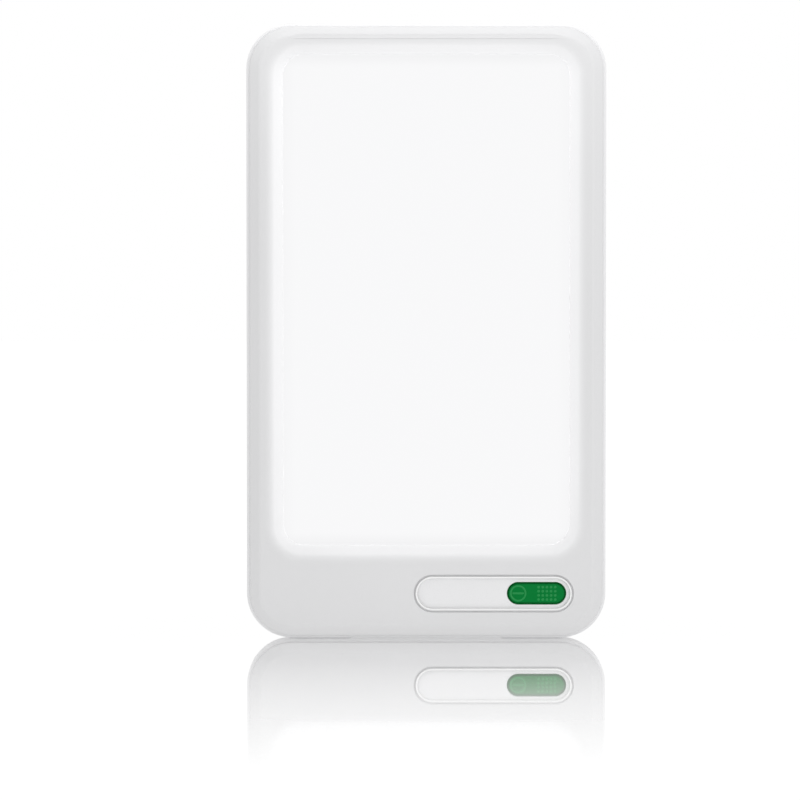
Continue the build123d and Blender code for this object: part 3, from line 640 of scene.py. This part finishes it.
# Painted light: the pads are coloured near white so that their faces in the shade under the housing stay
# light.
dress(moulded("pale_silicone_painted_light", "#EDEDEE", "#E8E8EA", 0.62, 0.6 * mm, 0.01 * mm, 1.41), "base_pads")
# Acetal is slick, so the slide's tray has a faint waxy sheen.
dress(moulded("white_acetal", "#E4E4E2", "#DEDEDB", 0.35, 0.5 * mm, 0.003 * mm, 1.48), "switch_tray")
# Epoxy filled with silica powder: a fine matt black.
dress(moulded("black_epoxy_compound", "#1E1E1F", "#242425", 0.55, 0.12 * mm, 0.004 * mm),
      "driver_chips", "hall_sensor")
# Undyed nylon is a warm ivory.
dress(moulded("natural_nylon", "#E9E4D6", "#DFD9C8", 0.4, 0.5 * mm, 0.003 * mm), "led_connectors")
# A sleeve shrunk over a can is glossy, with long shallow waves.
dress(moulded("shrunk_pvc_sleeve", "#1B1D26", "#22242E", 0.28, 1.5 * mm, 0.01 * mm), "capacitors")
# Ferrite is pressed powder, dark, and dull like a stone.
dress(moulded("pressed_ferrite", "#2D2C2D", "#3A393A", 0.7, 0.15 * mm, 0.01 * mm, 1.9), "inductor")
# The socket's tough polyester shows a soft grey sheen on black.
dress(moulded("black_pbt", "#151516", "#1B1B1C", 0.38, 0.4 * mm, 0.004 * mm), socket_piece)
# The lights' phosphor is a yellow powder in clear silicone.
dress(moulded("silicate_phosphor", "#E3CB62", "#EFDD8C", 0.45, 0.08 * mm, 0.006 * mm),
      "leds_left", "leds_right")


# %% [markdown]
# Metals are told apart by what their surface reflects: rolled aluminium has long fine lines
# one way, plated steel is bright with a fine grain, a ground rod has fine lines round it,
# and nickel is smoother than all of them. Here the lines are a noise that is stretched
# along one direction. Real ones are finer; 0.15 mm is as coarse as they need to show.

# %% Metals
def metal(name, base, shade, roughness, spread, line_scale, line_depth):
    """Metal with fine lines: a noise much finer across the lines than along them moves the
    gloss, the colour and the bump together."""
    material, tree, place = new_material(name)
    stretched = add(tree, "ShaderNodeMapping", {"Scale": line_scale}, {"Vector": place})
    lines = add(tree, "ShaderNodeTexNoise", {"Scale": 1.0, "Detail": 4.0, "Roughness": 0.65},
                {"Vector": stretched}).outputs["Fac"]
    colour = add(tree, "ShaderNodeMix", {"data_type": "RGBA", "A": linear(base), "B": linear(shade)},
                 {"Factor": lines})
    gloss = add(tree, "ShaderNodeMapRange", {"From Min": 0.3, "From Max": 0.7,
                                             "To Min": roughness - spread, "To Max": roughness + spread},
                {"Value": lines})
    bump = add(tree, "ShaderNodeBump", {"Strength": 0.4, "Distance": line_depth}, {"Height": lines})
    surface = add(tree, "ShaderNodeBsdfPrincipled", {"Metallic": 1.0},
                  {"Base Color": colour.outputs["Result"], "Roughness": gloss, "Normal": bump})
    add(tree, "ShaderNodeOutputMaterial", links={"Surface": surface})
    return material


fine, coarse = 1 / (0.15 * mm), 1 / (8 * mm)
grained, round_the_rod, upwards = (fine, fine, fine), (fine, coarse, coarse), (fine, fine, coarse)
# Zinc plate is a bright bluish grey that sparkles a little.
dress(metal("zinc_plated_steel", "#C4C7CC", "#B3B6BB", 0.3, 0.08, grained, 0.002 * mm),
      screw_piece, "plate_screws", "tray_screws", "board_screws", "hinge_washers")
# A ground rod has rings of fine lines, which spread its highlight along it.
dress(metal("ground_steel_rod", "#C2C4C6", "#AEB0B3", 0.22, 0.06, round_the_rod, 0.001 * mm),
      "stand_hinge_pin")
# Rolled aluminium is pale, and its long lines draw each reflection out sideways.
dress(metal("rolled_aluminium", "#D2D4D6", "#C3C5C8", 0.34, 0.1, upwards, 0.003 * mm), "heat_plate")
# Nickel is a warm grey, and nearly a mirror.
dress(metal("nickel_plate", "#CFC9BE", "#C2BCB0", 0.18, 0.05, grained, 0.001 * mm),
      "switch_magnet", contact_piece)

# %% [markdown]
# The circuit boards are glass cloth in epoxy under a solder mask. The mask is green on the
# driver board and white on the light strips. It is glossy, and copper tracks lift it into
# pale lines that run mostly one way.


# %% Circuit boards
def solder_mask(name, base, track, track_pitch):
    """Solder mask over copper tracks: bands of a wave, bent a little by its own distortion,
    are narrowed to lines that lighten the mask and raise it. A wave texture draws about 3.2
    bands in each unit of its scale."""
    material, tree, place = new_material(name)
    bands_per_unit = 3.2
    wave = add(tree, "ShaderNodeTexWave", {"Scale": 1 / (track_pitch * bands_per_unit),
                                           "Distortion": 1.5, "Detail": 0.0}, {"Vector": place})
    lines = add(tree, "ShaderNodeMapRange", {"From Min": 0.72, "From Max": 0.8},
                {"Value": wave.outputs["Fac"]})
    colour = add(tree, "ShaderNodeMix", {"data_type": "RGBA", "A": linear(base), "B": linear(track)},
                 {"Factor": lines})
    bump = add(tree, "ShaderNodeBump", {"Strength": 0.6, "Distance": 0.035 * mm}, {"Height": lines})
    surface = add(tree, "ShaderNodeBsdfPrincipled", {"Roughness": 0.25, "IOR": 1.55},
                  {"Base Color": colour.outputs["Result"], "Normal": bump})
    add(tree, "ShaderNodeOutputMaterial", links={"Surface": surface})
    return material


dress(solder_mask("green_solder_mask", "#0B4F2B", "#1B7043", 1.2 * mm), "driver_board")
dress(solder_mask("white_solder_mask", "#EDEDEA", "#E0DFDA", 1.0 * mm), "led_strip_left", "led_strip_right")


# %% [markdown]
# Light enters the clear guide from both edges and leaves it where white dots are printed on
# its back. A film evens it out, and the opal sheet in front glows. Beside its frame the
# sheet's glow is painted a little dimmer, most of all along the top and the bottom: painted
# shade that stands for the frame's shadow.


# %% Clear guide and films
def sheet_of(name, base, clear, roughness, grain, dot_pitch=None):
    """Thin plastic sheet, clear or milky, whose gloss varies with a fine grain. With a dot
    pitch it has white printed dots: the places where a Voronoi pattern, on a square grid,
    is nearer to its own points than a quarter of the pitch."""
    material, tree, place = new_material(name)
    texture = add(tree, "ShaderNodeTexNoise", {"Scale": 1 / grain, "Detail": 2.0}, {"Vector": place})
    gloss = add(tree, "ShaderNodeMapRange", {"To Min": 0.8 * roughness, "To Max": 1.2 * roughness},
                {"Value": texture.outputs["Fac"]})
    surface = add(tree, "ShaderNodeBsdfPrincipled", {"Base Color": linear(base), "IOR": 1.49,
                                                     "Transmission Weight": clear}, {"Roughness": gloss})
    if dot_pitch:
        dots = add(tree, "ShaderNodeTexVoronoi", {"Scale": 1 / dot_pitch, "Randomness": 0.0},
                   {"Vector": place})
        bare = add(tree, "ShaderNodeMapRange", {"From Min": 0.25, "From Max": 0.3},
                   {"Value": dots.outputs["Distance"]})
        colour = add(tree, "ShaderNodeMix", {"data_type": "RGBA", "A": linear("#FFFFFF"),
                                             "B": linear(base)}, {"Factor": bare})
        tree.links.new(colour.outputs["Result"], surface.inputs["Base Color"])
    add(tree, "ShaderNodeOutputMaterial", links={"Surface": surface})
    return material


# Clear cast acrylic, as bright and sharp as glass, with the dots seen through it.
dress(sheet_of("clear_acrylic", "#EAF2F2", 0.9, 0.05, 2.0 * mm, 1.6 * mm), "light_guide")
# A frosted film blurs whatever lies behind it.
dress(sheet_of("frosted_polyester", "#F0F0F0", 0.6, 0.5, 0.3 * mm), "diffuser_film")
# The reflector is paper white, with a soft silky gloss.
dress(sheet_of("white_reflector_film", "#F4F4F4", 0.0, 0.3, 1.0 * mm), "reflector_sheet")


# %% Opal acrylic, lit
def opal_acrylic(middle, reach, brightness, painted_shade_width, side_painted_shade, end_painted_shade):
    """Cast opal sheet lit from behind, an even white to the eye. Over the last few millimetres
    beside the frame its glow is darkened by a small share, painted shade for the frame's
    shadow: |x| and |z| from the middle are each mapped to what is left there, and the two
    shares and the brightness are multiplied."""
    material, tree, place = new_material("lit_opal_acrylic")
    from_middle = add(tree, "ShaderNodeVectorMath", {"operation": "SUBTRACT", 1: middle}, {0: place})
    parts = add(tree, "ShaderNodeSeparateXYZ", links={"Vector": from_middle})
    left = []
    # Painted shade: towards the frame the glow is darkened, as if the frame shaded the lit sheet.
    for part, fall, edge in (("X", side_painted_shade, reach[0]), ("Z", end_painted_shade, reach[1])):
        away = add(tree, "ShaderNodeMath", {"operation": "ABSOLUTE"}, {0: parts.outputs[part]})
        left.append(add(tree, "ShaderNodeMapRange",
                        {"interpolation_type": "SMOOTHSTEP", "From Min": edge - painted_shade_width,
                         "From Max": edge, "To Min": 1.0, "To Max": 1.0 - fall}, {"Value": away}))
    glow = add(tree, "ShaderNodeMath", {"operation": "MULTIPLY"}, {0: left[0], 1: left[1]})
    strength = add(tree, "ShaderNodeMath", {"operation": "MULTIPLY", 1: brightness}, {0: glow})
    surface = add(tree, "ShaderNodeBsdfPrincipled",
                  {"Base Color": linear("#202020"), "Roughness": 0.4, "Specular IOR Level": 0.15,
                   "IOR": 1.49, "Emission Color": linear("#F7F7F8")}, {"Emission Strength": strength})
    add(tree, "ShaderNodeOutputMaterial", links={"Surface": surface})
    return material


panel_middle = ((panel_low.x + panel_high.x) / 2, 0.0, (panel_low.z + panel_high.z) / 2)
panel_reach = ((panel_high.x - panel_low.x) / 2 - window_overlap,
               (panel_high.z - panel_low.z) / 2 - window_overlap)
# Painted shade over the last 6 mm beside the frame: 2 % darker at the sides, 5 % at the top and bottom.
dress(opal_acrylic(panel_middle, panel_reach, 0.985, 6 * mm, 0.02, 0.05), "diffuser_panel")

# %% [markdown]
# ## Camera
# The lamp is seen from straight in front and a little above. The camera could stand near,
# with a short lens, but then the sides would lean. From two metres, through a long lens,
# they stay parallel.


# %% Camera
def look_at(thing, place, target):
    """Puts a camera or a lamp in its place and turns it towards a target."""
    thing.location = place
    thing.rotation_mode = "QUATERNION"
    thing.rotation_quaternion = (target - place).to_track_quat("-Z", "Y")


camera_distance, camera_rise = 2.0, np.radians(2.5)
aim = Vector((-11.1 * mm, -29.0 * mm, 101.2 * mm))
back_and_up = Vector((0, -np.cos(camera_rise), np.sin(camera_rise)))
camera_data = bpy.data.cameras.new("camera")
camera_data.lens, camera_data.sensor_width = 212.6, 36.0
camera = place_object("camera", camera_data)
look_at(camera, aim + camera_distance * back_and_up, aim)
bpy.context.scene.camera = camera
print("the camera stands", [round(v, 2) for v in camera.location], "m from the lamp's foot")


# %% [markdown]
# ## Floor and background
# The lamp stands on a glossy white table before a white wall. White that bright would need
# lamps so strong that the white plastic lost its shading, so floor and wall glow a little
# more for the eye than for the lamp. The floor's gloss is a mirror that is strong at a low
# angle and fades away from the lamp. Right beneath the lamp the floor lights it less, as a
# table does in its shadow; that leaves the thin dark line on which the lamp stands.

# %% White for the eye alone
def seen_directly(tree):
    """1 for a ray from the camera, a gloss or a glass, and 0 for the light that falls on
    the object: the largest of three of Light Path's answers."""
    paths = add(tree, "ShaderNodeLightPath")
    eye_or_gloss = add(tree, "ShaderNodeMath", {"operation": "MAXIMUM"},
                       {0: paths.outputs["Is Camera Ray"], 1: paths.outputs["Is Glossy Ray"]})
    return add(tree, "ShaderNodeMath", {"operation": "MAXIMUM"},
               {0: eye_or_gloss, 1: paths.outputs["Is Transmission Ray"]})


# %% Floor
floor_half = 4.0
floor_corners = [(x * floor_half, y * floor_half, 0) for x, y in ((-1, -1), (1, -1), (1, 1), (-1, 1))]
floor_mesh = bpy.data.meshes.new("floor")
floor_mesh.from_pydata(floor_corners, [], [(0, 1, 2, 3)])
place_object("floor", floor_mesh)
print("the floor is", 2 * floor_half, "m wide")

# %% The floor's mirror
# Like any lacquer it mirrors most at a low angle: Layer Weight's facing value is near 1 there.
mirror_near, mirror_far = 0.13, 0.54
material, tree, place = new_material("glossy_white_floor")
away = add(tree, "ShaderNodeVectorMath", {"operation": "LENGTH"}, {0: place})
fade = add(tree, "ShaderNodeMapRange", {"From Min": mirror_far, "From Max": mirror_near},
           {"Value": away.outputs["Value"]})
facing = add(tree, "ShaderNodeLayerWeight", {"Blend": 0.5})
grazing = add(tree, "ShaderNodeMapRange", {"From Min": 0.7, "From Max": 0.85, "To Min": 0.1, "To Max": 0.96},
              {"Value": facing.outputs["Facing"]})
mirror_share = add(tree, "ShaderNodeMath", {"operation": "MULTIPLY"}, {0: fade, 1: grazing})
mirror = add(tree, "ShaderNodeBsdfAnisotropic", {"Color": (1, 1, 1, 1), "Roughness": 0.02})
print("its mirror fades out between", mirror_near, "and", mirror_far, "m from the lamp")

# %% The floor's white
# A plain grey takes the lamp's shadow, and the glow on top of it makes it white. Beneath the
# lamp it gives less: the glow falls over the first few millimetres under front and back.
glow_seen, glow_given, glow_beneath = 0.81, 0.68, 0.52
shell_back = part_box("rear_shell")[1].y
lamp_middle, lamp_half, shadow_edge = (crest + shell_back) / 2, (shell_back - crest) / 2, 5 * mm
parts = add(tree, "ShaderNodeSeparateXYZ", links={"Vector": place})
off_middle = add(tree, "ShaderNodeMath", {"operation": "SUBTRACT", 1: lamp_middle}, {0: parts.outputs["Y"]})
off_either_way = add(tree, "ShaderNodeMath", {"operation": "ABSOLUTE"}, {0: off_middle})
given = add(tree, "ShaderNodeMapRange", {"From Min": lamp_half - shadow_edge, "From Max": lamp_half,
                                         "To Min": glow_beneath, "To Max": glow_given},
            {"Value": off_either_way})
glow = add(tree, "ShaderNodeMapRange", {"To Max": glow_seen}, {"Value": seen_directly(tree), "To Min": given})

diffuse = add(tree, "ShaderNodeBsdfDiffuse", {"Color": linear("#909090")})
shine = add(tree, "ShaderNodeEmission", {"Color": (1, 1, 1, 1)}, {"Strength": glow})
white = add(tree, "ShaderNodeAddShader", links={0: diffuse, 1: shine})
lacquer = add(tree, "ShaderNodeMixShader", links={0: mirror_share, 1: white, 2: mirror})
add(tree, "ShaderNodeOutputMaterial", links={"Surface": lacquer})
floor_mesh.materials.append(material)
print("it glows", glow_seen, "for the eye,", glow_given, "for the lamp and", glow_beneath, "beneath it")

# %% Background
background_given, background_seen = 0.795, 1.0
world = bpy.data.worlds.new("studio")
bpy.context.scene.world = world
world.use_nodes = True
tree = world.node_tree
tree.nodes.clear()
level = add(tree, "ShaderNodeMapRange", {"To Min": background_given, "To Max": background_seen},
            {"Value": seen_directly(tree)})
sky = add(tree, "ShaderNodeBackground", {"Color": (1, 1, 1, 1)}, {"Strength": level})
add(tree, "ShaderNodeOutputWorld", links={"Surface": sky})
print("the background gives", background_given, "of white to the lamp and shows as", background_seen)


# %% [markdown]
# ## Lamps
# A large lamp on the right models the housing, and a narrow one above draws the bright line
# along its top edge. The panel is far brighter than the room, so it also lights its own
# frame: a flat lamp of the window's size, just in front of the sheet, reaches the slopes
# that face it and nothing that lies level with it. None of the lamps is seen itself.

# %% Lamps
def softbox(name, width, height, power, in_gloss=True):
    """A flat lamp, sizes in metres and power in watts. It isn't seen itself, and is left
    out of reflections if need be."""
    data = bpy.data.lights.new(name, "AREA")
    data.shape, data.size, data.size_y, data.energy = "RECTANGLE", width, height, power
    lamp = place_object(name, data)
    lamp.visible_camera = False
    lamp.visible_glossy = in_gloss
    print(name, "-", round(width, 3), "by", round(height, 3), "m,", power, "W")
    return lamp


lamp_centre = Vector((0, 0, 0.13))
look_at(softbox("key", 0.5, 0.5, 0.73), Vector((0.55, -0.65, 0.24)), lamp_centre)
look_at(softbox("top", 0.3, 0.06, 0.107, in_gloss=False), Vector((0.0, -0.1, 0.36)), lamp_centre)

panel_light = softbox("panel_light", 2 * panel_reach[0], 2 * panel_reach[1], 0.33, in_gloss=False)
in_front = 0.2 * mm
panel_light.location = (panel_middle[0], panel_low.y - in_front, panel_middle[2])
panel_light.rotation_euler = (-np.pi / 2, 0, 0)

# %% [markdown]
# ## The view
# The view is kept plain, so that a colour shows as it is written.

# %% The view
scene = bpy.context.scene
scene.view_settings.view_transform = "Standard"
print("the view transform is", scene.view_settings.view_transform)
